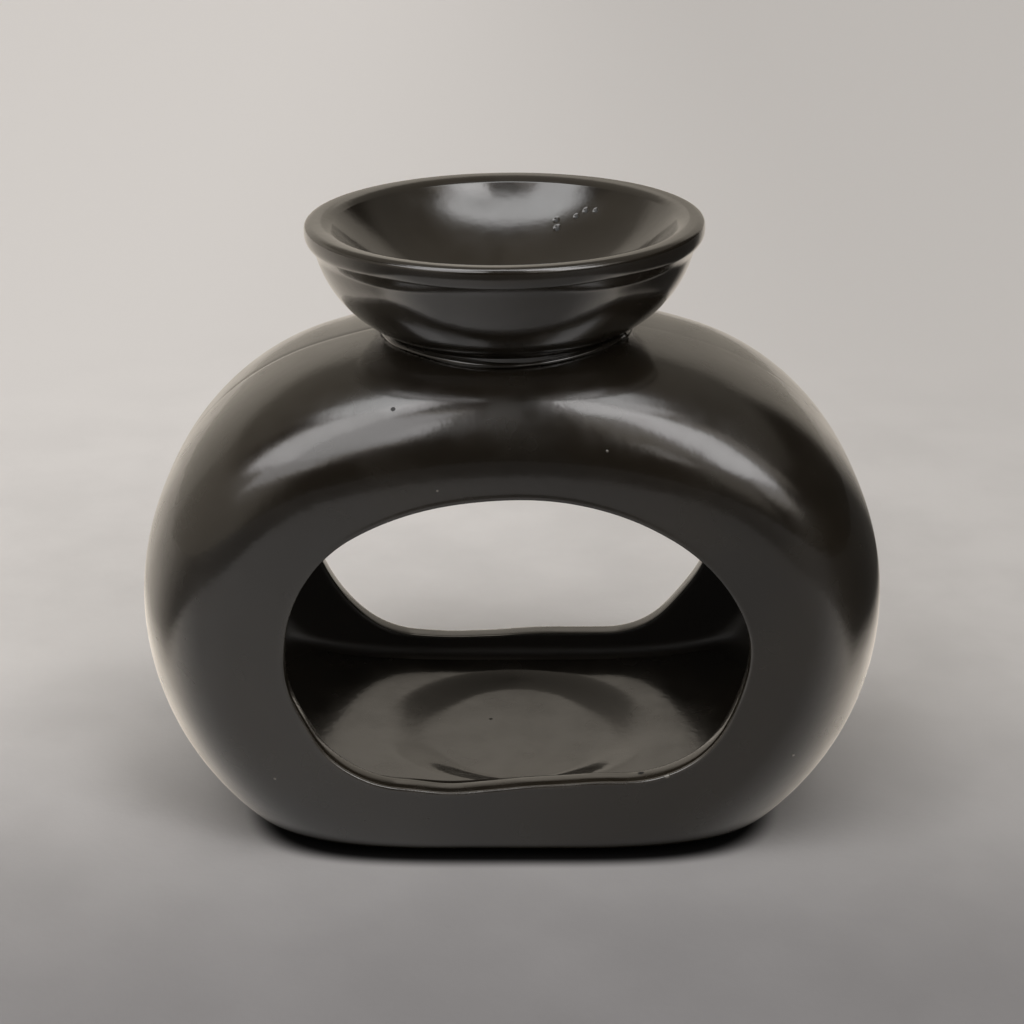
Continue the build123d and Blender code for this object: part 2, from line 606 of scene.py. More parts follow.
class Workbench:
    """Blender steps that every piece needs."""

    @staticmethod
    def clear_selection() -> None:
        """Leave edit mode and deselect everything."""
        if bpy.context.object and bpy.context.object.mode != "OBJECT":
            bpy.ops.object.mode_set(mode="OBJECT")
        bpy.ops.object.select_all(action="DESELECT")

    @staticmethod
    def name(piece: bpy.types.Object, name: str) -> None:
        """Name a piece and its mesh."""
        piece.name = name
        piece.data.name = name

    @staticmethod
    def points(piece: bpy.types.Object) -> np.ndarray:
        """Points of a piece's mesh, one in each row."""
        flat = np.zeros(len(piece.data.vertices) * 3)
        piece.data.vertices.foreach_get("co", flat)
        return flat.reshape(-1, 3)

    @staticmethod
    def normals(piece: bpy.types.Object) -> np.ndarray:
        """Normals at the points of a piece's mesh, one in each row."""
        flat = np.zeros(len(piece.data.vertices) * 3)
        piece.data.vertices.foreach_get("normal", flat)
        return flat.reshape(-1, 3)

    @staticmethod
    def place(piece: bpy.types.Object, points: np.ndarray) -> None:
        """Move the points of a piece's mesh."""
        piece.data.vertices.foreach_set("co", np.ascontiguousarray(points, dtype=np.float64).ravel())
        piece.data.update()

    @staticmethod
    def paint(piece: bpy.types.Object, trait: Trait, values: np.ndarray) -> None:
        """Store a point attribute that a finish reads."""
        layer = piece.data.attributes.new(trait.value, "FLOAT", "POINT")
        layer.data.foreach_set("value", np.asarray(values, dtype=np.float32))

    @staticmethod
    def close_up() -> None:
        """Merge doubles of the mesh in edit mode, turn its faces outwards and go back to object mode."""
        bpy.ops.mesh.select_all(action="SELECT")
        bpy.ops.mesh.remove_doubles(threshold=MERGE_DISTANCE)
        bpy.ops.mesh.normals_make_consistent(inside=False)
        bpy.ops.object.mode_set(mode="OBJECT")

    @staticmethod
    def subdivide(piece: bpy.types.Object, levels: int) -> None:
        """Smooth a cage with an applied Subdivision Surface."""
        modifier = piece.modifiers.new("rounding", "SUBSURF")
        modifier.levels = levels
        modifier.render_levels = levels
        bpy.ops.object.modifier_apply(modifier=modifier.name)

    @staticmethod
    def unsettle(piece: bpy.types.Object, size: float, depth: float) -> None:
        """Give a cast surface its slight unevenness with an applied Displace.

        Args:
            piece: The piece to work on.
            size: Size of the lumps.
            depth: Height of the lumps.
        """
        texture = bpy.data.textures.new(piece.name + "_unevenness", "CLOUDS")
        texture.noise_scale = size
        texture.noise_depth = 1
        modifier = piece.modifiers.new("unevenness", "DISPLACE")
        modifier.texture = texture
        modifier.texture_coords = "LOCAL"
        modifier.strength = depth
        modifier.mid_level = 0.5
        bpy.ops.object.modifier_apply(modifier=modifier.name)

    @staticmethod
    def hand_over(piece: bpy.types.Object, finish: Glaze, node: Node, slot: Slot) -> None:
        """Shade a piece smooth, glaze it and let it stand for its CAD node.

        Args:
            piece: The finished piece.
            finish: Its glaze.
            node: The CAD node that it stands for.
            slot: The record's material slot; not used.
        """
        Workbench.clear_selection()
        piece.select_set(True)
        bpy.context.view_layer.objects.active = piece
        bpy.ops.object.shade_smooth()
        piece.data.materials.clear()
        piece.data.materials.append(finish.material())
        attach(piece, BODY)
        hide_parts(node.value)
        LOG.info("%s: %d faces", piece.name, len(piece.data.polygons))


@dataclass(frozen=True)
class Lip:
    """Section through the edge of a window, from the outer face to the inner face.

    Attributes:
        steps: Distance in from the outer face and distance out from the window's edge, for each ring.
    """

    steps: tuple[Span, ...]


CUT_LIP = Lip((
    (0.0 * MM, 0.75 * MM), (-0.12 * MM, 0.32 * MM), (0.12 * MM, -0.08 * MM), (0.42 * MM, 0.02 * MM),
    (0.72 * MM, 0.30 * MM), (1.02 * MM, 0.06 * MM), (1.6 * MM, -0.04 * MM), (2.6 * MM, -0.04 * MM),
    (3.4 * MM, 0.06 * MM), (3.9 * MM, 0.28 * MM), (4.15 * MM, 0.6 * MM), (4.2 * MM, 1.0 * MM),
))
SOFT_LIP = Lip((
    (0.0 * MM, 1.6 * MM), (0.10 * MM, 0.85 * MM), (0.45 * MM, 0.38 * MM), (0.95 * MM, 0.10 * MM),
    (1.6 * MM, 0.0 * MM), (2.8 * MM, 0.0 * MM), (3.7 * MM, 0.03 * MM), (4.05 * MM, 0.15 * MM),
    (4.2 * MM, 0.45 * MM), (4.2 * MM, 1.0 * MM),
))


@dataclass
class BurnerBody:
    """The slip-cast body: a hollow oval drum with a window at each end, a foot and a tealight seat.

    The shell is one closed ring of clay, so its cage is a chain of rings round the line through both
    windows: out over the front face and the rim, in through the back window, round the chamber and out
    through the front window again.

    Attributes:
        hub: Height of the line through both windows.
        around: Points in each ring.
        rim_steps: Rings over the rim.
        rim_samples: Points of the rim's section that its rings are spaced on.
        rim_crowding: How much these points crowd towards the drum's outline.
        face_samples: Insets at which the edge between a face and the rim is looked up.
        chamber_steps: Rings round the chamber.
        drum: Outline of the body.
        half_depth: Half the body's depth.
        rim_bulge: How far the rim reaches in from the drum's outline.
        rim_power: How square the rim's section is.
        rim_start: Distance in from the outline where the faces end.
        base_height: Height of the base between the foot and the edge.
        base_blend: Rounding of the base's edge.
        wall: Thickness of the wall.
        chamber: Outline of the chamber.
        chamber_bulge: How far the chamber's rounded end reaches in.
        floor_height: Height of the chamber's floor.
        floor_blend: Rounding between the floor and the sides.
        floor_fillet: Rounding between the floor and the faces.
        floor_dish: How far the floor rises towards its edge.
        floor_rise: Heights above the floor where that rise starts and stops to fade.
        floor_margin: How far past the chamber's ends that rise goes, as a share.
        window: Outline of a window.
        face_shares: Where the rings of a face lie, between the window and the rim.
        inner_shares: Where the rings of an inner face lie, between the window and the chamber.
        front_dents: Unevenness of the front window's edge.
        back_dents: Unevenness of the back window's edge.
        seat_centre: Middle of the tealight seat.
        seat_radius: Radius of the seat.
        seat_depth: Depth of the seat.
        seat_slope: Half width of its sloping edge.
        seat_fade: How much wider that edge is on the left and on the right.
        foot_radius: Radius of the foot.
        foot_slope: Half width of the foot's sloping edge.
        land_radius: Radius of the level land that the dish sits on.
        land_height: Height of that land.
        land_slope: Half width of its edge.
        lump_size: Size of the cast wall's lumps.
        lump_depth: Height of these lumps.
        parting_half: Half width of the mould's parting line.
        parting_depth: Depth of that line.
        parting_dent: Where the line is deeper.
        facing: How far a point must face away from or towards the hub line to count as outside or inside.
        bare_rise: Heights where the bare clay of the foot starts and stops to give way to glaze.
        dry_rise: Heights above the floor where the glaze starts to be dull and is fully dull.
        dry_end: Distances from the chamber's end where the same happens, in floor fillets.
        dry_facing: How far a point must face along the hub line to lie on an inner face.
        dry_margin: How far past the chamber's end the dull glaze goes.
        worn_highlight_width: Half width of the pale front edge of the window, partly worn glaze and partly a
            painted highlight.
        worn_highlight_depth: How far behind the face that edge reaches.
        worn_highlight_share: How much of the glaze is worn off there, which is also the strength of the
            painted highlight.
        worn_highlight_level: Mean of the patches along that edge.
        worn_highlight_waves: Height, count and start of the waves that make these patches.
        spots: Faults in the glaze.
    """

    hub: float = 36.0 * MM
    around: int = 200
    rim_steps: int = 36
    rim_samples: int = 2000
    rim_crowding: int = 3
    face_samples: int = 8
    chamber_steps: int = 40
    drum: Oval = field(default_factory=lambda: Oval(
        60.0 * MM, 37.6 * MM, 82.4 * MM, 100.0 * MM, -11.4 * MM, 22.0 * MM))
    half_depth: float = 30.0 * MM
    rim_bulge: float = 18.5 * MM
    rim_power: float = 2.7
    rim_start: float = 14.0 * MM
    base_height: float = 1.8 * MM
    base_blend: float = 1.4 * MM
    wall: float = 4.2 * MM
    chamber: Oval = field(default_factory=lambda: Oval(
        55.8 * MM, 37.6 * MM, 74.8 * MM, 100.0 * MM, -7.2 * MM, 22.0 * MM))
    chamber_bulge: float = 9.5 * MM
    floor_height: float = 8.2 * MM
    floor_blend: float = 12.0 * MM
    floor_fillet: float = 1.8 * MM
    floor_dish: float = 1.0 * MM
    floor_rise: Span = (1.0 * MM, 6.0 * MM)
    floor_margin: float = 1.01
    window: Oval = field(default_factory=lambda: Oval(
        35.8 * MM, 35.5 * MM, 62.5 * MM, 47.5 * MM, 13.7 * MM, 34.0 * MM))
    face_shares: tuple[float, ...] = (0.15, 0.4, 0.65, 0.87)
    inner_shares: tuple[float, ...] = (0.35, 0.7)
    front_dents: tuple[Dent, ...] = (
        Dent(3, 14, 1.0 * MM), Dent(35, 12, -0.2 * MM), Dent(98, 20, -0.3 * MM), Dent(160, 12, -0.3 * MM),
        Dent(178, 12, -0.6 * MM), Dent(199, 10, -0.8 * MM), Dent(229, 9, 0.3 * MM), Dent(246, 13, 1.4 * MM),
        Dent(264, 12, 0.5 * MM), Dent(306, 14, -0.7 * MM), Dent(334, 12, 0.5 * MM))
    back_dents: tuple[Dent, ...] = (
        Dent(200, 12, -0.6 * MM), Dent(212, 9, -0.3 * MM), Dent(242, 14, 0.8 * MM), Dent(262, 14, 0.4 * MM),
        Dent(285, 14, -0.1 * MM), Dent(311, 12, -0.1 * MM), Dent(334, 11, -0.9 * MM))
    seat_centre: Span = (1.0 * MM, 0.0)
    seat_radius: float = 18.5 * MM
    seat_depth: float = 1.25 * MM
    seat_slope: float = 2.2 * MM
    seat_fade: float = 1.6
    foot_radius: float = 26.0 * MM
    foot_slope: float = 0.7 * MM
    land_radius: float = 19.4 * MM
    land_height: float = 79.0 * MM
    land_slope: float = 0.8 * MM
    lump_size: float = 30 * MM
    lump_depth: float = 0.18 * MM
    parting_half: float = 0.5 * MM
    parting_depth: float = 0.02 * MM
    parting_dent: Dent = Dent(128, 24, 0.14 * MM)
    facing: float = 0.2
    bare_rise: Span = (0.2 * MM, 0.7 * MM)
    dry_rise: Span = (1.0 * MM, 5.0 * MM)
    dry_end: Span = (1.5, 0.5)
    dry_facing: float = 0.3
    dry_margin: float = 0.3 * MM
    worn_highlight_width: float = 0.35 * MM
    worn_highlight_depth: float = 0.5 * MM
    worn_highlight_share: float = 0.3
    worn_highlight_level: float = 0.6
    worn_highlight_waves: tuple[tuple[float, float, float], ...] = ((0.25, 9.0, 0.5), (0.15, 31.0, 0.0))
    spots: tuple[Spot, ...] = (
        Spot((-11.1 * MM, -30.0 * MM, 63.8 * MM), 0.22 * MM, pale=True),
        Spot((14.1 * MM, -29.1 * MM, 69.8 * MM), 0.22 * MM, pale=True),
        Spot((-37.4 * MM, -29.8 * MM, 14.9 * MM), 0.26 * MM, pale=True),
        Spot((44.3 * MM, -28.8 * MM, 18.6 * MM), 0.3 * MM, pale=True),
        Spot((24.4 * MM, -29.9 * MM, 15.6 * MM), 0.6 * MM, pale=True),
        # The last three spots are pinholes, painted dark as the shade in their holes.
        Spot((-17.7 * MM, -25.2 * MM, 75.0 * MM), 0.5 * MM),
        Spot((-3.7 * MM, 5.2 * MM, 6.7 * MM), 0.6 * MM),
        Spot((20.5 * MM, -27.3 * MM, 14.5 * MM), 0.7 * MM),
    )

    def angles(self) -> np.ndarray:
        """Directions of the ring's points, from the hub line."""
        return np.arange(self.around) * (2 * math.pi / self.around)

    def level(self, height: float) -> np.ndarray:
        """Distance from the hub line down to a level surface, in each direction."""
        down = np.maximum(-np.sin(self.angles()), LEAST_SLOPE)
        return (self.hub - height) / down

    @property
    def inner_depth(self) -> float:
        """Half the chamber's depth."""
        return self.half_depth - self.wall

    @staticmethod
    def ring(y: float | np.ndarray, reach: np.ndarray) -> np.ndarray:
        """One ring of the cage: its place along Y and its reach, for each direction."""
        return np.column_stack([np.broadcast_to(y, reach.shape), reach])

    def recess(self, inset: np.ndarray) -> np.ndarray:
        """How far the outside lies behind the flat face, at distances in from the drum's outline."""
        share = np.clip(1.0 - inset / self.rim_bulge, 0.0, 1.0)
        return self.half_depth * (1.0 - (1.0 - share**self.rim_power) ** (1.0 / self.rim_power))

    def rim_insets(self) -> np.ndarray:
        """Evenly spaced steps over the rim, from its front edge to the drum's outline."""
        inset = self.rim_start * np.linspace(1.0, 0.0, self.rim_samples) ** self.rim_crowding
        recess = self.recess(inset)
        along = np.concatenate([[0.0], np.cumsum(np.hypot(np.diff(inset), np.diff(recess)))])
        return np.interp(np.linspace(0.0, along[-1], self.rim_steps // 2 + 1), along, inset)

    def outer_reach(self, inset: float) -> np.ndarray:
        """Reach of the drum's outside at a distance in from its outline."""
        outline = self.drum.inset(inset)
        return soft_min(outline.reach(self.angles(), self.hub), self.level(self.base_height),
                        self.base_blend)

    def face_ring(self, edge: np.ndarray, share: float, side: float) -> np.ndarray:
        """One ring of a face, part of the way from the window's edge to the rim.

        Args:
            edge: Reach of the window's edge.
            share: Part of the way.
            side: FRONT or BACK.

        Returns:
            The ring.
        """
        reach = edge * (1.0 - share) + self.outer_reach(self.rim_start) * share
        insets = np.linspace(self.rim_start, self.rim_bulge, self.face_samples)
        table = np.array([self.outer_reach(inset) for inset in insets])
        inset = np.array([np.interp(-value, -column, insets) for value, column in zip(reach, table.T)])
        return self.ring(side * (self.half_depth - self.recess(inset)), reach)

    def inner_reach(self, turn: float) -> np.ndarray:
        """Reach of the chamber at a turn of its elliptical section."""
        outline = self.chamber.inset(self.chamber_bulge * (1.0 - math.cos(turn)))
        from_end = self.inner_depth * (1.0 - abs(math.sin(turn)))
        into = max(self.floor_fillet - from_end, 0.0)
        rise = self.floor_fillet - math.sqrt(self.floor_fillet**2 - into**2)
        return soft_min(outline.reach(self.angles(), self.hub), self.level(self.floor_height + rise),
                        self.floor_blend)

    def window_reach(self, dents: tuple[Dent, ...]) -> np.ndarray:
        """Reach of a window's edge with its hand-cut unevenness."""
        reach = self.window.reach(self.angles(), self.hub)
        for dent in dents:
            reach = reach + dent.at(self.angles())
        return reach

    def rings(self) -> Iterator[np.ndarray]:
        """Yield the rings of the cage, in order round the wall's section."""
        front = self.window_reach(self.front_dents)
        back = self.window_reach(self.back_dents)
        edge = SOFT_LIP.steps[0][1]

        for share in (0.0, *self.face_shares):
            yield self.face_ring(front + edge, share, FRONT)
        insets = self.rim_insets()[:-1]
        for inset in insets:
            yield self.ring(self.recess(inset) - self.half_depth, self.outer_reach(inset))
        parting = self.outer_reach(0.0)
        groove = self.parting_depth + self.parting_dent.at(self.angles())
        for y, share in ((-self.parting_half, 0.0), (0.0, 1.0), (self.parting_half, 0.0)):
            yield self.ring(y, parting - share * groove)
        for inset in reversed(insets):
            yield self.ring(self.half_depth - self.recess(inset), self.outer_reach(inset))
        for share in reversed(self.face_shares):
            yield self.face_ring(back + edge, share, BACK)

        for depth, out in SOFT_LIP.steps:
            yield self.ring(self.half_depth - depth, back + out)
        inner_face = self.inner_reach(math.pi / 2)
        inner_edge = SOFT_LIP.steps[-1][1]
        for share in self.inner_shares:
            yield self.ring(self.inner_depth, (back + inner_edge) * (1 - share) + inner_face * share)
        for turn in np.linspace(math.pi / 2, -math.pi / 2, self.chamber_steps):
            yield self.ring(self.inner_depth * math.sin(turn), self.inner_reach(turn))
        for share in reversed(self.inner_shares):
            yield self.ring(-self.inner_depth, (front + inner_edge) * (1 - share) + inner_face * share)
        for depth, out in reversed(CUT_LIP.steps):
            yield self.ring(-self.half_depth + depth, front + out)

    def build_cage(self) -> bpy.types.Object:
        """Extrude the cage ring by ring and bridge its ends.

        Returns:
            The cage as a new object.
        """
        Workbench.clear_selection()
        bpy.ops.mesh.primitive_circle_add(vertices=self.around, radius=self.hub, fill_type="NOTHING",
                                          location=(0.0, 0.0, self.hub), rotation=(math.pi / 2, 0.0, 0.0))
        cage = bpy.context.object
        Workbench.name(cage, "burner_body_shell")
        bpy.ops.object.transform_apply(location=True, rotation=True, scale=True)
        bpy.ops.object.mode_set(mode="EDIT")
        bpy.ops.mesh.select_all(action="SELECT")
        for number, ring in enumerate(self.rings()):
            if number:
                bpy.ops.mesh.extrude_region_move()
            self.place_ring(cage.data, ring)
        bpy.ops.mesh.select_mode(type="EDGE")
        bpy.ops.mesh.select_all(action="DESELECT")
        bpy.ops.mesh.select_non_manifold(extend=False, use_wire=False, use_boundary=True,
                                         use_multi_face=False, use_non_contiguous=False, use_verts=False)
        bpy.ops.mesh.bridge_edge_loops()
        Workbench.close_up()
        return cage

    def place_ring(self, mesh: bpy.types.Mesh, ring: np.ndarray) -> None:
        """Push the selected ring of points out along its rays to where the ring belongs.

        Args:
            mesh: The mesh in edit mode.
            ring: Place along Y and reach for each direction.
        """
        step = 2 * math.pi / self.around
        points = bmesh.from_edit_mesh(mesh)
        for point in points.verts:
            if point.select:
                angle = math.atan2(point.co.z - self.hub, point.co.x)
                y, reach = ring[round(angle / step) % self.around]
                point.co = (reach * math.cos(angle), y, self.hub + reach * math.sin(angle))
        bmesh.update_edit_mesh(mesh)

    def sculpt(self, points: np.ndarray, outwards: np.ndarray) -> np.ndarray:
        """Sink the tealight seat and the dish's land, dish the floor and draw out the foot.

        Args:
            points: Points of the smoothed shell.
            outwards: How far the shell faces away from the hub line at each point.

        Returns:
            The moved points.
        """
        x, y, z = points.T
        mid_floor = (self.floor_height + self.base_height) / 2
        from_seat = np.hypot(x - self.seat_centre[0], y - self.seat_centre[1])
        aside = ((x - self.seat_centre[0]) / np.maximum(from_seat, MM)) ** 2
        slope = self.seat_slope * (1.0 + self.seat_fade * aside)
        in_seat = 1.0 - smooth_step(self.seat_radius - slope, self.seat_radius + slope, from_seat)
        on_floor = (z > mid_floor) & (z < self.hub / 2)
        sunk = z - self.seat_depth * in_seat * on_floor

        indoors = on_floor & (outwards < self.facing) & (np.abs(y) < self.floor_margin * self.inner_depth)
        out = np.minimum((x / self.chamber.half_width) ** 2 + (y / self.inner_depth) ** 2, 1.0)
        low = 1.0 - smooth_step(*(self.floor_height + rise for rise in self.floor_rise), z)
        sunk = sunk + self.floor_dish * out * low * indoors

        from_axis = np.hypot(x, y)
        in_foot = 1.0 - smooth_step(self.foot_radius - self.foot_slope, self.foot_radius + self.foot_slope,
                                    from_axis)
        below = z < mid_floor
        sunk = np.where(below, sunk * (1.0 - in_foot), sunk)

        from_dish = np.hypot(x - DISH_OFFSET, y)
        in_land = 1.0 - smooth_step(self.land_radius - self.land_slope, self.land_radius + self.land_slope,
                                    from_dish)
        proud = np.maximum(sunk - self.land_height, 0.0)
        return np.column_stack([x, y, sunk - proud * in_land])

    def build(self) -> bpy.types.Object:
        """Build and dress the body.

        Returns:
            The finished piece.
        """
        shell = self.build_cage()
        Workbench.subdivide(shell, 1)
        Workbench.unsettle(shell, self.lump_size, self.lump_depth)
        Workbench.place(shell, self.sculpt(Workbench.points(shell), self.outwards(shell)))
        self.paint(shell)
        Workbench.hand_over(shell, Glaze("body_glaze", spots=self.spots), Node.BODY, Slot.BODY)
        return shell

    def outwards(self, shell: bpy.types.Object) -> np.ndarray:
        """How far the shell faces away from the hub line at each point, from -1 to 1."""
        x, _, z = Workbench.points(shell).T
        across, _, up = Workbench.normals(shell).T
        return (x * across + (z - self.hub) * up) / np.hypot(x, z - self.hub)

    def paint(self, shell: bpy.types.Object) -> None:
        """Mark the bare foot, the dull glaze inside the chamber and the worn front edge of the window, whose
        pale edge is partly thin glaze and partly a painted highlight.
        """
        x, y, z = Workbench.points(shell).T
        along = Workbench.normals(shell)[:, 1]
        Workbench.paint(shell, Trait.BARE, 1.0 - smooth_step(*self.bare_rise, z))

        facing_in = (self.outwards(shell) < -self.facing) | (along * np.sign(y) < -self.dry_facing)
        inside = facing_in & (np.abs(y) < self.inner_depth + self.dry_margin)
        off_floor = smooth_step(*(self.floor_height + rise for rise in self.dry_rise), z)
        ends = (self.inner_depth - share * self.floor_fillet for share in self.dry_end)
        at_end = smooth_step(*ends, np.abs(y))
        Workbench.paint(shell, Trait.DRY, inside * np.maximum(off_floor, at_end))

        # Pale front edge of the window: partly worn, thin glaze and partly a painted highlight.
        reach = np.hypot(x, z - self.hub)
        turn = np.arctan2(z - self.hub, x)
        edge = np.interp(turn, self.angles(), self.window_reach(self.front_dents), period=2 * math.pi)
        at_face = y < -self.half_depth + self.worn_highlight_depth
        on_edge = np.exp(-((reach - edge) / self.worn_highlight_width) ** 2) * at_face
        patches = self.worn_highlight_level + sum(height * np.sin(count * turn + start)
                                        for height, count, start in self.worn_highlight_waves)
        Workbench.paint(shell, Trait.THIN, self.worn_highlight_share * on_edge * patches)


@dataclass(frozen=True)
class Pit:
    """A burst bubble in the dish's glaze.

    Attributes:
        place: Where it is, across and along, from the dish's axis.
        radius: How far it reaches.
        depth: How deep it is.
        core: Share of the radius that is at its full depth.
    """

    place: Span
    radius: float
    depth: float
    core: float = 0.3

    def cover(self, points: np.ndarray) -> np.ndarray:
        """How far each point lies inside the pit, from 0 to 1."""
        away = np.hypot(points[:, 0] - self.place[0], points[:, 1] - self.place[1])
        return 1.0 - smooth_step(self.core * self.radius, self.radius, away)


@dataclass
class OilDish:
    """The oil dish: a turned bowl with a rolled lip and a short foot, sitting a little askew.

    Heights are above the dish's seat, and distances are from its axis.

    Attributes:
        seat_height: Height of the seat in the burner's frame.
        foot_radius: Radius of the foot.
        foot_height: Height of the foot's side.
        underside: Distances of the points of the flat underside.
        foot_corner: Points of the foot's rounded corner, from its side and its underside.
        lip_level: Height of the middle of the lip's inner roll.
        rim_radius: Greatest radius of the dish.
        lip_half: Half axes of the inner roll.
        lip_circle: Distance of the inner roll's middle.
        lip_radii: Radii of the arcs down the lip's outside.
        lip_turns: Directions where these arcs start and end, in degrees.
        flank_start: Lower end of the round flank.
        flank_radius: Radius of the flank.
        neck: Upper end of the flank, under the lip.
        bowl_slope: Slope of the bowl where it meets the lip.
        flank_points: Points on the flank.
        roll_points: Points on the inner roll.
        lip_points: Points on each arc of the lip's outside.
        bowl_points: Points on the bowl.
        turns: Steps round the axis.
        tilt: How far the dish leans.
        pits: Burst bubbles in the bowl.
        pit_patch: How far round a pit the mesh is made finer.
        pit_cuts: How many cuts make it finer.
        bowl_band: How far from the bowl's sphere a face may lie to belong to the bowl.
        point_band: How far from the bowl's sphere a point may lie to belong to the bowl.
        finish: The dish's glaze.
        spots: Faults in the glaze.
    """

    seat_height: float = 78.95 * MM
    foot_radius: float = 19.5 * MM
    foot_height: float = 2.0 * MM
    underside: tuple[float, ...] = (0.0, 6.0 * MM, 12.0 * MM, 16.0 * MM, 18.0 * MM)
    foot_corner: tuple[Span, ...] = ((-0.2 * MM, 0.12 * MM), (0.0, 0.5 * MM), (0.0, 1.2 * MM))
    lip_level: float = 17.55 * MM
    rim_radius: float = 31.25 * MM
    lip_half: Span = (3.5 * MM, 1.6 * MM)
    lip_circle: float = 30.03 * MM
    lip_radii: tuple[float, ...] = (1.6 * MM, 0.75 * MM, 4.6 * MM, 2.1 * MM)
    lip_turns: tuple[float, ...] = (90.0, 60.0, 8.0, -8.0, -42.0)
    flank_start: Span = (20.3 * MM, 2.7 * MM)
    flank_radius: float = 18.0 * MM
    neck: Span = (29.55 * MM, 14.2 * MM)
    bowl_slope: float = math.radians(50)
    flank_points: int = 24
    roll_points: int = 20
    lip_points: int = 11
    bowl_points: int = 60
    turns: int = 200
    tilt: float = math.radians(-0.6)
    pits: tuple[Pit, ...] = (
        Pit((8.5 * MM, 20.2 * MM), 0.55 * MM, 0.2 * MM), Pit((8.6 * MM, 18.7 * MM), 0.7 * MM, 0.24 * MM),
        Pit((11.8 * MM, 19.5 * MM), 0.5 * MM, 0.2 * MM), Pit((13.4 * MM, 19.7 * MM), 0.55 * MM, 0.2 * MM),
        Pit((15.0 * MM, 18.8 * MM), 0.5 * MM, 0.2 * MM))
    pit_patch: float = 1.6 * MM
    pit_cuts: int = 5
    bowl_band: float = 0.1 * MM
    point_band: float = 0.05 * MM
    finish: Glaze = Glaze("dish_glaze", roughness=0.2, roughness_spread=0.04, skin_roughness=0.09)
    spots: tuple[Spot, ...] = (
        Spot((-4.5 * MM, 18.5 * MM, 90.3 * MM), 0.22 * MM, pale=True),
        Spot((-8.7 * MM, 13.8 * MM, 88.5 * MM), 0.22 * MM, pale=True))

    def lip_inner(self) -> np.ndarray:
        """Point of the lip's section where the bowl meets it smoothly."""
        across, up = self.lip_half
        reach = math.hypot(across * math.sin(self.bowl_slope), up * math.cos(self.bowl_slope))
        return np.array([self.lip_circle - across**2 * math.sin(self.bowl_slope) / reach,
                         self.lip_level + up**2 * math.cos(self.bowl_slope) / reach])

    def bowl(self) -> tuple[float, float]:
        """Height of the round bowl's centre above the seat, and the bowl's radius."""
        inner = self.lip_inner()
        radius = inner[0] / math.sin(self.bowl_slope)
        return inner[1] + radius * math.cos(self.bowl_slope), radius

    def flank(self) -> np.ndarray:
        """Points of the outside, from the foot to the neck under the lip."""
        start = np.array(self.flank_start)
        end = np.array(self.neck)
        half = np.linalg.norm(end - start) / 2
        along = (end - start) / (2 * half)
        rise = math.sqrt(self.flank_radius**2 - half**2)
        centre = (start + end) / 2 + rise * np.array([-along[1], along[0]])
        angles = [math.atan2(*(point - centre)[::-1]) for point in (start, end)]
        return arc_points(tuple(centre), (self.flank_radius, self.flank_radius), *angles, self.flank_points)

    @staticmethod
    def hollow(before: np.ndarray, after: np.ndarray, count: int = 8) -> np.ndarray:
        """Points of a soft hollow that joins the ends of two curves smoothly.

        Args:
            before: Points of the curve that ends at the hollow.
            after: Points of the curve that starts there.
            count: Points on the hollow, with the two ends.

        Returns:
            The points between the two.
        """
        first, last = before[-1] - before[-2], after[1] - after[0]
        share, _ = np.linalg.solve(np.column_stack([first, last]), after[0] - before[-1])
        corner = before[-1] + share * first
        steps = np.linspace(0.0, 1.0, count)[1:-1, None]
        return (1 - steps) ** 2 * before[-1] + 2 * steps * (1 - steps) * corner + steps**2 * after[0]

    def lip(self) -> np.ndarray:
        """Points of the lip: up its outside, over its tight shoulder and down the inner roll."""
        across, up = self.lip_half
        inner = self.lip_inner()
        inner_turn = math.atan2((inner[1] - self.lip_level) / up, (inner[0] - self.lip_circle) / across)
        roll = arc_points((self.lip_circle, self.lip_level), self.lip_half, math.pi / 2, inner_turn,
                          self.roll_points)
        outside = [roll[:1]]
        for radius, first, last in zip(self.lip_radii, self.lip_turns, self.lip_turns[1:]):
            start, end = math.radians(first), math.radians(last)
            centre = outside[-1][-1] - radius * np.array([math.cos(start), math.sin(start)])
            outside.append(arc_points(tuple(centre), (radius, radius), start, end, self.lip_points)[1:])
        return np.vstack([np.vstack(outside[1:])[::-1], roll])

    def section(self) -> np.ndarray:
        """Section of the dish, from the middle of its underside to the middle of its bowl.

        Returns:
            Distance from the axis and height above the seat, one point in each row.
        """
        foot = np.array([*((distance, 0.0) for distance in self.underside),
                         *((self.foot_radius + out, up) for out, up in self.foot_corner),
                         (self.foot_radius, self.foot_height)])
        flank = self.flank()
        lip = self.lip()
        bowl_height, bowl_radius = self.bowl()
        bowl = arc_points((0.0, bowl_height), (bowl_radius, bowl_radius), self.bowl_slope - math.pi / 2,
                          -math.pi / 2, self.bowl_points)[1:]
        return np.vstack([foot, self.hollow(foot, flank), flank, self.hollow(flank, lip), lip, bowl])

    def build(self) -> bpy.types.Object:
        """Build and dress the dish.

        Returns:
            The finished piece.
        """
        section = self.section()
        Workbench.clear_selection()
        bpy.ops.mesh.primitive_circle_add(vertices=len(section), radius=self.rim_radius,
                                          fill_type="NOTHING")
        dish = bpy.context.object
        Workbench.name(dish, "oil_dish_bowl")
        Workbench.place(dish, np.column_stack([section[:, 0], np.zeros(len(section)), section[:, 1]]))
        bpy.ops.object.mode_set(mode="EDIT")
        bpy.ops.mesh.select_all(action="DESELECT")
        self.open_axis(dish.data)
        bpy.ops.mesh.select_all(action="SELECT")
        bpy.ops.mesh.spin(steps=self.turns, angle=2 * math.pi, center=(0.0, 0.0, 0.0),
                          axis=(0.0, 0.0, 1.0))
        Workbench.close_up()
        self.sink_pits(dish)
        Workbench.place(dish, self.set_down(Workbench.points(dish)))
        Workbench.hand_over(dish, replace(self.finish, spots=self.spots), Node.DISH, Slot.DISH)
        return dish

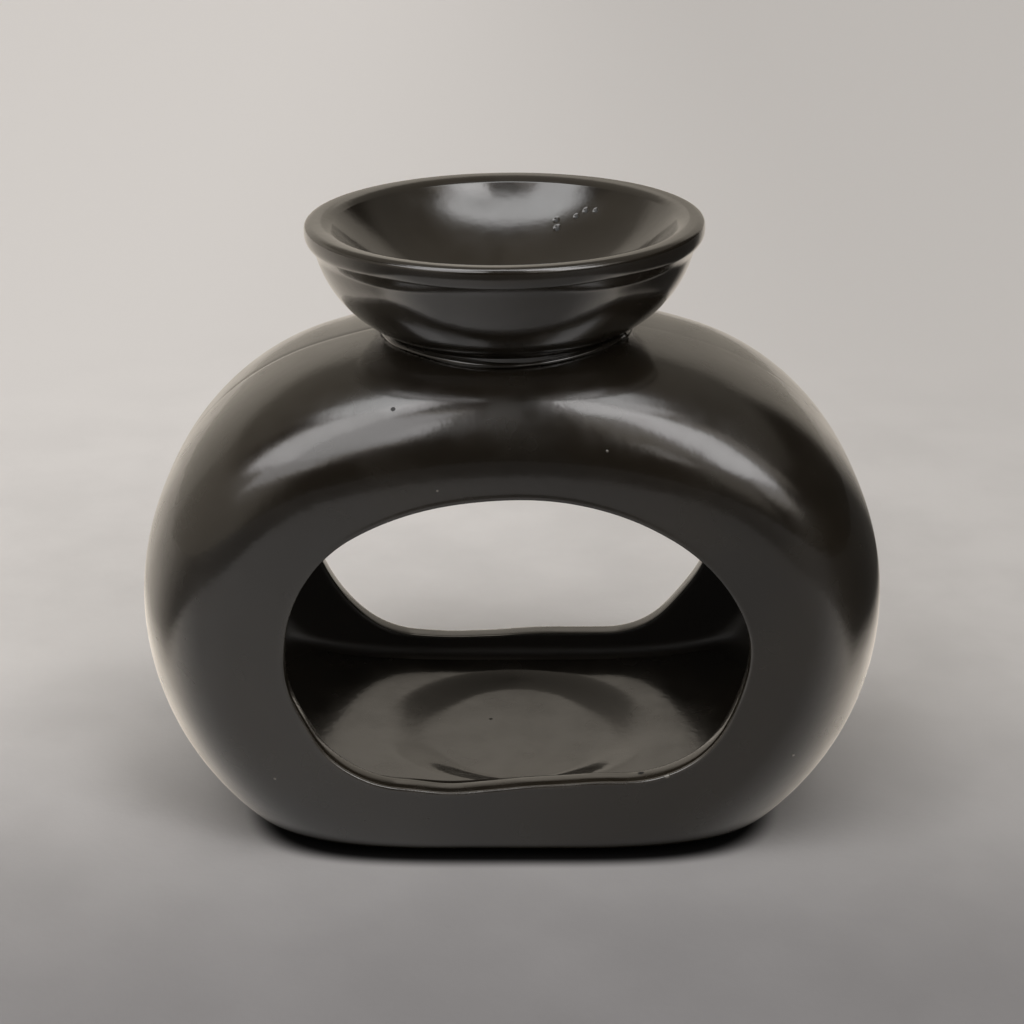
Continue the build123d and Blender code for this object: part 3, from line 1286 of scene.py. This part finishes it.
    @staticmethod
    def open_axis(mesh: bpy.types.Mesh) -> None:
        """Delete the edge of the section that lies on the axis."""
        shape = bmesh.from_edit_mesh(mesh)
        for edge in shape.edges:
            edge.select = all(abs(point.co.x) < MERGE_DISTANCE for point in edge.verts)
        bmesh.update_edit_mesh(mesh)
        bpy.ops.mesh.select_mode(type="EDGE")
        bpy.ops.mesh.delete(type="EDGE")

    def sink_pits(self, dish: bpy.types.Object) -> None:
        """Make the mesh finer round the pits, press them into the bowl and mark them."""
        height, radius = self.bowl()
        bpy.ops.object.mode_set(mode="EDIT")
        bpy.ops.mesh.select_mode(type="FACE")
        bpy.ops.mesh.select_all(action="DESELECT")
        shape = bmesh.from_edit_mesh(dish.data)
        for face in shape.faces:
            x, y, z = face.calc_center_median()
            on_bowl = abs(math.hypot(x, y, z - height) - radius) < self.bowl_band
            face.select_set(on_bowl and any(
                math.hypot(x - pit.place[0], y - pit.place[1]) < self.pit_patch for pit in self.pits))
        bmesh.update_edit_mesh(dish.data)
        bpy.ops.mesh.subdivide(number_cuts=self.pit_cuts)
        bpy.ops.object.mode_set(mode="OBJECT")

        points = Workbench.points(dish)
        out = points - np.array([0.0, 0.0, height])
        length = np.linalg.norm(out, axis=1)
        on_bowl = np.abs(length - radius) < self.point_band
        covers = [pit.cover(points) * on_bowl for pit in self.pits]
        depth = sum(pit.depth * cover for pit, cover in zip(self.pits, covers))
        reach = np.where(on_bowl, radius + depth, length)
        Workbench.place(dish, points + out * ((reach - length) / length)[:, None])
        # The pits are marked so that the glaze paints them near-black, as painted shade in the holes.
        Workbench.paint(dish, Trait.PIT, np.max(covers, axis=0))

    def set_down(self, points: np.ndarray) -> np.ndarray:
        """Tilt the dish slightly and set it on its seat.

        Args:
            points: Points of the dish about its own axis.

        Returns:
            The points in the burner's frame.
        """
        x, y, z = points.T
        return np.column_stack([x * math.cos(self.tilt) + z * math.sin(self.tilt) + DISH_OFFSET, y,
                                z * math.cos(self.tilt) - x * math.sin(self.tilt) + self.seat_height])


@dataclass
class GlazeBead:
    """The uneven bead of slip and glaze in the joint round the dish's foot.

    Attributes:
        body: The body whose crown the bead lies on.
        radius: Radius of the bead's ring.
        thickness: Half the thickness of the bead.
        swells: Where the bead is thicker or thinner.
        around: Steps round the ring.
        across: Steps round the bead's section.
    """

    body: BurnerBody
    radius: float = 19.7 * MM
    thickness: float = 0.35 * MM
    swells: tuple[Dent, ...] = (
        Dent(30, 12, 0.2 * MM), Dent(95, 16, 0.25 * MM), Dent(160, 9, 0.25 * MM), Dent(211, 9, 0.35 * MM),
        Dent(250, 12, 0.3 * MM), Dent(281, 5, -0.12 * MM), Dent(317, 10, 0.3 * MM), Dent(336, 2.2, 0.85 * MM))
    around: int = 360
    across: int = 14

    def crown_height(self, x: np.ndarray, y: np.ndarray) -> np.ndarray:
        """Height of the body's crown at each place."""
        body, drum = self.body, self.body.drum
        share = np.clip(np.abs(y) / body.half_depth, 0.0, 1.0)
        drop = body.rim_bulge * (1.0 - (1.0 - share**body.rim_power) ** (1.0 / body.rim_power))
        return drum.top - drum.top_radius + np.sqrt((drum.top_radius - drop) ** 2 - x**2)

    def build(self) -> bpy.types.Object:
        """Build and dress the bead.

        Returns:
            The finished piece.
        """
        Workbench.clear_selection()
        bpy.ops.mesh.primitive_torus_add(major_segments=self.around, minor_segments=self.across,
                                         major_radius=self.radius, minor_radius=self.thickness)
        bead = bpy.context.object
        Workbench.name(bead, "glaze_seam_bead")
        x, y, z = Workbench.points(bead).T
        turn = np.arctan2(y, x)
        out = np.hypot(x, y) - self.radius
        swell = 1.0 + sum(dent.at(turn) for dent in self.swells) / self.thickness
        reach = self.radius + out * swell
        line_x = DISH_OFFSET + self.radius * np.cos(turn)
        line_y = self.radius * np.sin(turn)
        height = self.crown_height(line_x, line_y) + z * swell
        Workbench.place(bead, np.column_stack([DISH_OFFSET + reach * np.cos(turn), reach * np.sin(turn),
                                               height]))
        Workbench.hand_over(bead, Glaze("seam_glaze"), Node.SEAM, Slot.SEAM)
        return bead


@dataclass(frozen=True)
class Panel:
    """A soft-edged bright patch of the room round the burner.

    Attributes:
        name: What the patch is.
        turn: Where it starts and ends, in degrees from the front towards the right.
        lift: Where it starts and ends, in degrees above the horizon.
        blur: Half width of its soft edges, across and up, in degrees.
        strength: How bright it looks.
        mirrored: Whether the glaze mirrors it.
    """

    name: str
    turn: Span
    lift: Span
    blur: Span
    strength: float
    mirrored: bool = True

    def glow(self, sheet: NodeSheet, turn: bpy.types.NodeSocket,
             lift: bpy.types.NodeSocket) -> bpy.types.NodeSocket:
        """Brightness of the patch in each direction.

        Args:
            sheet: The world's node sheet.
            turn: Direction round the burner, in degrees.
            lift: Direction above the horizon, in degrees.

        Returns:
            The brightness, 0 outside the patch.
        """
        across = sheet.between(turn, self.turn, self.blur[0])
        up = sheet.between(lift, self.lift, self.blur[1])
        return sheet.maths("MULTIPLY", sheet.maths("MULTIPLY", across, up), self.strength)


@dataclass(frozen=True)
class SoftBox:
    """The soft light close above the burner, as the glaze mirrors it.

    Attributes:
        name: Name of the light and its material.
        height: How high it hangs.
        across: Where it starts and ends across.
        along: Where it starts and ends along.
        blur: Half width of its soft edges, across and along.
        strength: How bright it looks.
        dim_place: Middle of a dimmer part.
        dim_radius: How far that part reaches.
        dim_share: How much dimmer it is.
    """

    name: str = "soft_box"
    height: float = 0.40
    across: Span = (-0.19, 0.13)
    along: Span = (-0.060, 0.036)
    blur: Span = (0.045, 0.026)
    strength: float = 2.9
    dim_place: Span = (0.045, -0.035)
    dim_radius: float = 0.05
    dim_share: float = 0.3

    def build(self) -> None:
        """Hang the soft light up."""
        width = self.across[1] - self.across[0] + 4 * self.blur[0]
        depth = self.along[1] - self.along[0] + 4 * self.blur[1]
        middle = (sum(self.across) / 2, sum(self.along) / 2)
        Workbench.clear_selection()
        bpy.ops.mesh.primitive_plane_add(size=1.0, location=(*middle, self.height))
        box = bpy.context.object
        box.name = self.name
        box.scale = (width, depth, 1.0)
        bpy.ops.object.transform_apply(location=True, rotation=True, scale=True)
        box.data.materials.append(self.material())
        box.visible_camera = False
        box.visible_diffuse = False
        box.visible_shadow = False

    def material(self) -> bpy.types.Material:
        """Build the light's glow, which fades out at its edges."""
        material, sheet = blank_material(self.name)
        where = sheet.add("TexCoord").outputs["Object"]
        x, y, _ = sheet.add("SeparateXYZ", {0: where}).outputs
        share = sheet.maths("MULTIPLY", sheet.between(x, self.across, self.blur[0]),
                            sheet.between(y, self.along, self.blur[1]))
        away = sheet.away(where, (*self.dim_place, self.height))
        dim = sheet.ramp(away, self.dim_radius, 0.0, 1.0, 1.0 - self.dim_share)
        glow = sheet.add("Emission", {"Strength": sheet.maths("MULTIPLY", dim, self.strength)})
        clear = sheet.add("BsdfTransparent")
        both = sheet.add("MixShader", {0: share, 1: clear.outputs[0], 2: glow.outputs[0]})
        sheet.add("OutputMaterial", {"Surface": both.outputs[0]})
        return material


@dataclass
class Studio:
    """Pale floor, a room of soft panels and the camera at the photograph's angle.

    Attributes:
        camera_place: Where the camera stands.
        camera_pitch: How far it looks down.
        camera_near: How close it sees.
        focal_pixels: Its focal length, in pixels of the picture.
        floor_size: Size of the floor.
        gloom: Brightness of the room between its panels.
        dim_tint: Tint of the dim parts of the room.
        bright_tint: Tint of its bright parts.
        tint_range: Brightness where the first tint ends and the second starts.
        background: Colour behind the floor, as the camera sees it.
        panels: The bright patches of the room.
    """

    camera_place: tuple[float, float, float] = (0.0, -312.48 * MM, 175.37 * MM)
    camera_pitch: float = math.radians(22.14)
    camera_near: float = 0.01
    focal_pixels: float = 2043.0
    floor_size: float = 8.0
    gloom: float = 0.012
    dim_tint: Colour = (1.0, 0.90, 0.76)
    bright_tint: Colour = (1.0, 0.98, 0.975)
    tint_range: Span = (0.2, 1.8)
    background: Colour = (0.55, 0.54, 0.53)
    panels: tuple[Panel, ...] = (
        Panel("overhead", (-112, 112), (70, 100), (8, 4), 3.0, mirrored=False),
        Panel("zenith", (-200, 200), (83, 100), (4, 4), 2.2, mirrored=False),
        Panel("left_window", (-76, -38), (32, 76), (7, 4), 2.9),
        Panel("left_upper", (-98, -50), (65, 80), (8, 5), 3.8),
        Panel("left_front", (-40, -14), (29, 64), (3, 5), 2.0),
        Panel("left_streak", (-20, -12.5), (35, 54), (2, 4), 2.6),
        Panel("left_sill", (-58, -22), (21, 34), (4, 3), 1.5),
        Panel("right_window", (29, 59), (23, 77), (4, 4), 3.4),
        Panel("right_sill", (38, 60), (13, 28), (6, 5), 1.1),
        Panel("right_inner", (14, 30), (26, 68), (3, 6), 0.6),
        Panel("right_upper", (20, 52), (60, 80), (3, 5), 4.2),
        Panel("right_outer", (56, 76), (26, 64), (6, 8), 0.65),
        Panel("right_top", (56, 88), (66, 80), (8, 4), 2.6),
        Panel("right_foot", (20, 36), (6, 26), (4, 6), 0.42),
        Panel("right_streak", (15.5, 20), (18, 32), (1.5, 3), 1.2),
        Panel("left_low", (-125, -30), (-30, 32), (10, 8), 0.33),
        Panel("back_left", (-200, -112), (-30, 30), (10, 8), 0.45),
        Panel("back_right", (143, 200), (-30, 32), (6, 8), 0.33),
        Panel("wall_left", (-200, -172), (20, 36), (3, 4), 0.5),
        Panel("wall_right", (172, 200), (20, 36), (3, 4), 0.5),
        Panel("high_left", (-200, -95), (20, 80), (10, 6), 0.19),
        Panel("high_right", (72, 200), (32, 80), (8, 6), 0.14),
    )

    def build(self) -> None:
        """Build the whole studio."""
        self.build_floor()
        SoftBox().build()
        self.build_world()
        self.build_camera()

    def build_floor(self) -> None:
        """Lay the floor under the burner."""
        Workbench.clear_selection()
        bpy.ops.mesh.primitive_plane_add(size=self.floor_size)
        floor = bpy.context.object
        floor.name = "floor"
        floor.data.materials.append(TableTop().material())

    def build_world(self) -> None:
        """Fill the room with its soft panels, and give the camera a pale background."""
        world = bpy.data.worlds.new("studio_room")
        bpy.context.scene.world = world
        world.use_nodes = True
        sheet = NodeSheet(world.node_tree)
        x, y, z = sheet.add("SeparateXYZ", {0: sheet.add("TexCoord").outputs["Generated"]}).outputs
        turn = sheet.turn(x, y)
        lift = sheet.maths("DEGREES", sheet.maths("ARCSINE", z))
        rays = sheet.add("LightPath")
        unmirrored = sheet.maths("SUBTRACT", 1.0, rays.outputs["Is Glossy Ray"])
        strength: object = self.gloom
        for panel in self.panels:
            glow = panel.glow(sheet, turn, lift)
            if not panel.mirrored:
                glow = sheet.maths("MULTIPLY", glow, unmirrored)
            strength = sheet.maths("MAXIMUM", strength, glow)
        seen = rays.outputs["Is Camera Ray"]
        tint = sheet.mix(sheet.ramp(strength, *self.tint_range), self.dim_tint, self.bright_tint)
        room = sheet.add("Background", {"Color": tint, "Strength": strength})
        pale = sheet.add("Background", {"Color": (*self.background, 1.0), "Strength": 1.0})
        both = sheet.add("MixShader", {0: seen, 1: room.outputs[0], 2: pale.outputs[0]})
        sheet.add("OutputWorld", {"Surface": both.outputs[0]})

    def build_camera(self) -> None:
        """Set the camera up where the photograph was taken from."""
        data = bpy.data.cameras.new("photo_camera")
        data.sensor_width = SENSOR_WIDTH
        data.lens = self.focal_pixels * SENSOR_WIDTH / IMAGE_PIXELS
        data.clip_start = self.camera_near
        camera = bpy.data.objects.new("photo_camera", data)
        bpy.context.scene.collection.objects.link(camera)
        camera.location = self.camera_place
        camera.rotation_euler = (math.pi / 2 - self.camera_pitch, 0.0, 0.0)
        bpy.context.scene.camera = camera


def main() -> None:
    """Build every piece and the studio round it."""
    logging.basicConfig(level=logging.INFO)
    bpy.context.scene.view_settings.view_transform = "Standard"
    body = BurnerBody()
    body.build()
    OilDish().build()
    GlazeBead(body).build()
    Studio().build()


if __name__ == "__main__":
    main()
